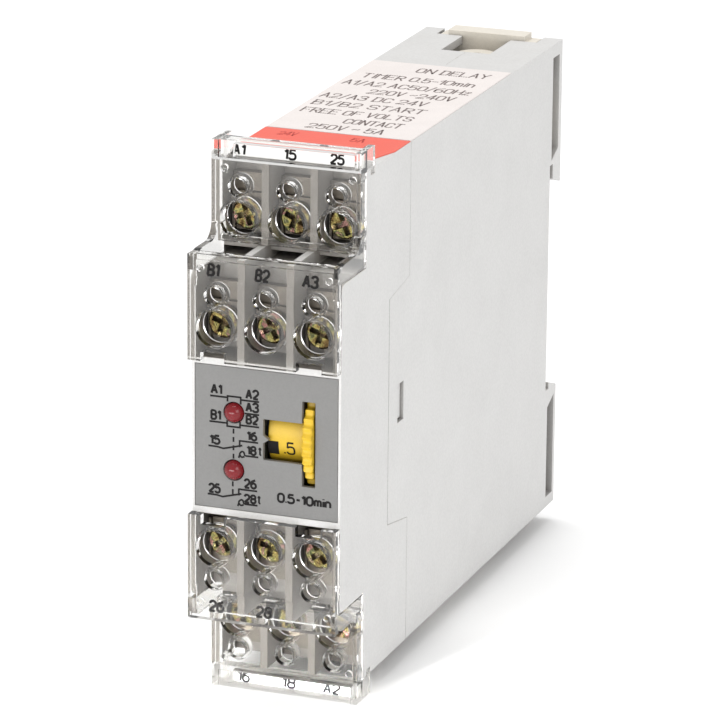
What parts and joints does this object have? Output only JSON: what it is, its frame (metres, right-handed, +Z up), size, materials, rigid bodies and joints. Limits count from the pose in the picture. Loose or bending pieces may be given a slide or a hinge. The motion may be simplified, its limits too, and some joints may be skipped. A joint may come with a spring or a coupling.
{
  "type": "din rail timer",
  "caption": "Narrow rail-mounted timer relay with a setting wheel, indicator lamps and screw terminals under stepped clear covers.",
  "frame": {"origin": "centre of the rail seat, on the 35 mm rail's front face", "axes": "+X right seen from the front, +Y back towards the rail, +Z up"},
  "size_m": [0.0226, 0.099, 0.0818],
  "materials": {
    "case_plastic": "fine-textured moulded",
    "plate_plastic": "printed grey plate",
    "clear_plastic": "clear polycarbonate",
    "marker_plastic": "white marker strip with black print",
    "label_paper": "printed label",
    "band_paper": "orange-red band",
    "slider_plastic": "cream moulded",
    "spring_steel": "spring wire",
    "yellow_plastic": "yellow moulded",
    "spindle_plastic": "moulded",
    "black_plastic": "moulded",
    "pot_plastic": "moulded",
    "board_laminate": "solder-masked laminate",
    "plated_brass": "tinned",
    "chromated_steel": "yellow-passivated",
    "clamp_steel": "yellow-passivated",
    "lamp_red": "tinted dome",
    "relay_plastic": "moulded",
    "relay_clear": "smoky clear",
    "copper_winding": "enamelled wire",
    "soft_iron": "plated iron",
    "contact_alloy": "contact spring",
    "core_laminations": "stacked laminations",
    "bobbin_plastic": "moulded",
    "capacitor_sleeve": "shrink sleeve",
    "film_plastic": "moulded",
    "resistor_lacquer": "lacquered"
  },
  "bodies": {
    "case": {"rear_case": "case_plastic", "front_shell": "case_plastic", "front_plate": "plate_plastic", "upper_terminal_cover": "clear_plastic", "lower_terminal_cover": "clear_plastic", "marker_strips": "marker_plastic", "rating_label": "label_paper", "colour_band": "band_paper", "slider_springs": "spring_steel", "board_link": "black_plastic", "timer_chip": "black_plastic", "rectifier_diodes": "black_plastic", "potentiometer": "pot_plastic", "front_board": "board_laminate", "main_board": "board_laminate", "terminal_boards": "board_laminate", "terminal_busbars": "plated_brass", "indicator_lamps": "lamp_red", "relay_base": "relay_plastic", "relay_cover": "relay_clear", "relay_coil": "copper_winding", "transformer_winding": "copper_winding", "relay_yoke": "soft_iron", "relay_fixed_contacts": "contact_alloy", "transformer_core": "core_laminations", "transformer_bobbin": "bobbin_plastic", "capacitors": "capacitor_sleeve", "film_capacitor": "film_plastic", "resistors": "resistor_lacquer"},
    "setting_wheel": {"setting_wheel": "yellow_plastic", "scale_drum": "yellow_plastic", "setting_spindle": "spindle_plastic"},
    "rail_slider": {"rail_slider": "slider_plastic"},
    "relay_armature": {"relay_armature": "soft_iron", "relay_carrier": "relay_plastic", "relay_moving_contacts": "contact_alloy"},
    "clamp_a1": {"clamp_plate_a1": "clamp_steel"},
    "screw_a1": {"terminal_screw_a1": "chromated_steel"},
    "clamp_15": {"clamp_plate_15": "clamp_steel"},
    "screw_15": {"terminal_screw_15": "chromated_steel"},
    "clamp_25": {"clamp_plate_25": "clamp_steel"},
    "screw_25": {"terminal_screw_25": "chromated_steel"},
    "clamp_b1": {"clamp_plate_b1": "clamp_steel"},
    "screw_b1": {"terminal_screw_b1": "chromated_steel"},
    "clamp_b2": {"clamp_plate_b2": "clamp_steel"},
    "screw_b2": {"terminal_screw_b2": "chromated_steel"},
    "clamp_a3": {"clamp_plate_a3": "clamp_steel"},
    "screw_a3": {"terminal_screw_a3": "chromated_steel"},
    "clamp_26": {"clamp_plate_26": "clamp_steel"},
    "screw_26": {"terminal_screw_26": "chromated_steel"},
    "clamp_28": {"clamp_plate_28": "clamp_steel"},
    "screw_28": {"terminal_screw_28": "chromated_steel"},
    "clamp_spare": {"clamp_plate_spare": "clamp_steel"},
    "screw_spare": {"terminal_screw_spare": "chromated_steel"},
    "clamp_16": {"clamp_plate_16": "clamp_steel"},
    "screw_16": {"terminal_screw_16": "chromated_steel"},
    "clamp_18": {"clamp_plate_18": "clamp_steel"},
    "screw_18": {"terminal_screw_18": "chromated_steel"},
    "clamp_a2": {"clamp_plate_a2": "clamp_steel"},
    "screw_a2": {"terminal_screw_a2": "chromated_steel"}
  },
  "joints": [
    {"name": "setting_wheel_turn", "type": "hinge", "parent": "case", "child": "setting_wheel", "pos_m": [0.0064, -0.085, 0.0004], "axis": [1, 0, 0], "range_deg": [0, 270]},
    {"name": "rail_slider_pull", "type": "slide", "parent": "case", "child": "rail_slider", "axis": [0, 0, 1], "range_m": [0, 0.003], "stiffness_N_per_m": 600, "springref_m": -0.003, "deforming": ["slider_springs"]},
    {"name": "relay_armature_swing", "type": "hinge", "parent": "case", "child": "relay_armature", "pos_m": [0.0048, -0.0377, 0.01635], "axis": [0, 0, 1], "range_deg": [0, 4], "stiffness_Nm_per_rad": 0.02, "springref_deg": -5.73},
    {"name": "clamp_slide_a1", "type": "slide", "parent": "case", "child": "clamp_a1", "axis": [0, 1, 0], "range_m": [-0.0018, 0]},
    {"name": "screw_turn_a1", "type": "hinge", "parent": "clamp_a1", "child": "screw_a1", "pos_m": [-0.00736, -0.0812, 0.02985], "axis": [0, 1, 0], "range_deg": [-1081, 0]},
    {"name": "clamp_slide_15", "type": "slide", "parent": "case", "child": "clamp_15", "axis": [0, 1, 0], "range_m": [-0.0018, 0]},
    {"name": "screw_turn_15", "type": "hinge", "parent": "clamp_15", "child": "screw_15", "pos_m": [0, -0.0812, 0.02985], "axis": [0, 1, 0], "range_deg": [-1081, 0]},
    {"name": "clamp_slide_25", "type": "slide", "parent": "case", "child": "clamp_25", "axis": [0, 1, 0], "range_m": [-0.0018, 0]},
    {"name": "screw_turn_25", "type": "hinge", "parent": "clamp_25", "child": "screw_25", "pos_m": [0.00736, -0.0812, 0.02985], "axis": [0, 1, 0], "range_deg": [-1081, 0]},
    {"name": "clamp_slide_b1", "type": "slide", "parent": "case", "child": "clamp_b1", "axis": [0, 1, 0], "range_m": [-0.0018, 0]},
    {"name": "screw_turn_b1", "type": "hinge", "parent": "clamp_b1", "child": "screw_b1", "pos_m": [-0.00736, -0.0902, 0.01625], "axis": [0, 1, 0], "range_deg": [-1081, 0]},
    {"name": "clamp_slide_b2", "type": "slide", "parent": "case", "child": "clamp_b2", "axis": [0, 1, 0], "range_m": [-0.0018, 0]},
    {"name": "screw_turn_b2", "type": "hinge", "parent": "clamp_b2", "child": "screw_b2", "pos_m": [0, -0.0902, 0.01625], "axis": [0, 1, 0], "range_deg": [-1081, 0]},
    {"name": "clamp_slide_a3", "type": "slide", "parent": "case", "child": "clamp_a3", "axis": [0, 1, 0], "range_m": [-0.0018, 0]},
    {"name": "screw_turn_a3", "type": "hinge", "parent": "clamp_a3", "child": "screw_a3", "pos_m": [0.00736, -0.0902, 0.01625], "axis": [0, 1, 0], "range_deg": [-1081, 0]},
    {"name": "clamp_slide_26", "type": "slide", "parent": "case", "child": "clamp_26", "axis": [0, 1, 0], "range_m": [-0.0018, 0]},
    {"name": "screw_turn_26", "type": "hinge", "parent": "clamp_26", "child": "screw_26", "pos_m": [-0.00736, -0.0902, -0.01625], "axis": [0, 1, 0], "range_deg": [-1081, 0]},
    {"name": "clamp_slide_28", "type": "slide", "parent": "case", "child": "clamp_28", "axis": [0, 1, 0], "range_m": [-0.0018, 0]},
    {"name": "screw_turn_28", "type": "hinge", "parent": "clamp_28", "child": "screw_28", "pos_m": [0, -0.0902, -0.01625], "axis": [0, 1, 0], "range_deg": [-1081, 0]},
    {"name": "clamp_slide_spare", "type": "slide", "parent": "case", "child": "clamp_spare", "axis": [0, 1, 0], "range_m": [-0.0018, 0]},
    {"name": "screw_turn_spare", "type": "hinge", "parent": "clamp_spare", "child": "screw_spare", "pos_m": [0.00736, -0.0902, -0.01625], "axis": [0, 1, 0], "range_deg": [-1081, 0]},
    {"name": "clamp_slide_16", "type": "slide", "parent": "case", "child": "clamp_16", "axis": [0, 1, 0], "range_m": [-0.0018, 0]},
    {"name": "screw_turn_16", "type": "hinge", "parent": "clamp_16", "child": "screw_16", "pos_m": [-0.00736, -0.0812, -0.02985], "axis": [0, 1, 0], "range_deg": [-1081, 0]},
    {"name": "clamp_slide_18", "type": "slide", "parent": "case", "child": "clamp_18", "axis": [0, 1, 0], "range_m": [-0.0018, 0]},
    {"name": "screw_turn_18", "type": "hinge", "parent": "clamp_18", "child": "screw_18", "pos_m": [0, -0.0812, -0.02985], "axis": [0, 1, 0], "range_deg": [-1081, 0]},
    {"name": "clamp_slide_a2", "type": "slide", "parent": "case", "child": "clamp_a2", "axis": [0, 1, 0], "range_m": [-0.0018, 0]},
    {"name": "screw_turn_a2", "type": "hinge", "parent": "clamp_a2", "child": "screw_a2", "pos_m": [0.00736, -0.0812, -0.02985], "axis": [0, 1, 0], "range_deg": [-1081, 0]}
  ],
  "couplings": [
    {"joint": "screw_turn_a1", "follows": "clamp_slide_a1", "rad_per_m": 10472},
    {"joint": "screw_turn_15", "follows": "clamp_slide_15", "rad_per_m": 10472},
    {"joint": "screw_turn_25", "follows": "clamp_slide_25", "rad_per_m": 10472},
    {"joint": "screw_turn_b1", "follows": "clamp_slide_b1", "rad_per_m": 10472},
    {"joint": "screw_turn_b2", "follows": "clamp_slide_b2", "rad_per_m": 10472},
    {"joint": "screw_turn_a3", "follows": "clamp_slide_a3", "rad_per_m": 10472},
    {"joint": "screw_turn_26", "follows": "clamp_slide_26", "rad_per_m": 10472},
    {"joint": "screw_turn_28", "follows": "clamp_slide_28", "rad_per_m": 10472},
    {"joint": "screw_turn_spare", "follows": "clamp_slide_spare", "rad_per_m": 10472},
    {"joint": "screw_turn_16", "follows": "clamp_slide_16", "rad_per_m": 10472},
    {"joint": "screw_turn_18", "follows": "clamp_slide_18", "rad_per_m": 10472},
    {"joint": "screw_turn_a2", "follows": "clamp_slide_a2", "rad_per_m": 10472}
  ]
}
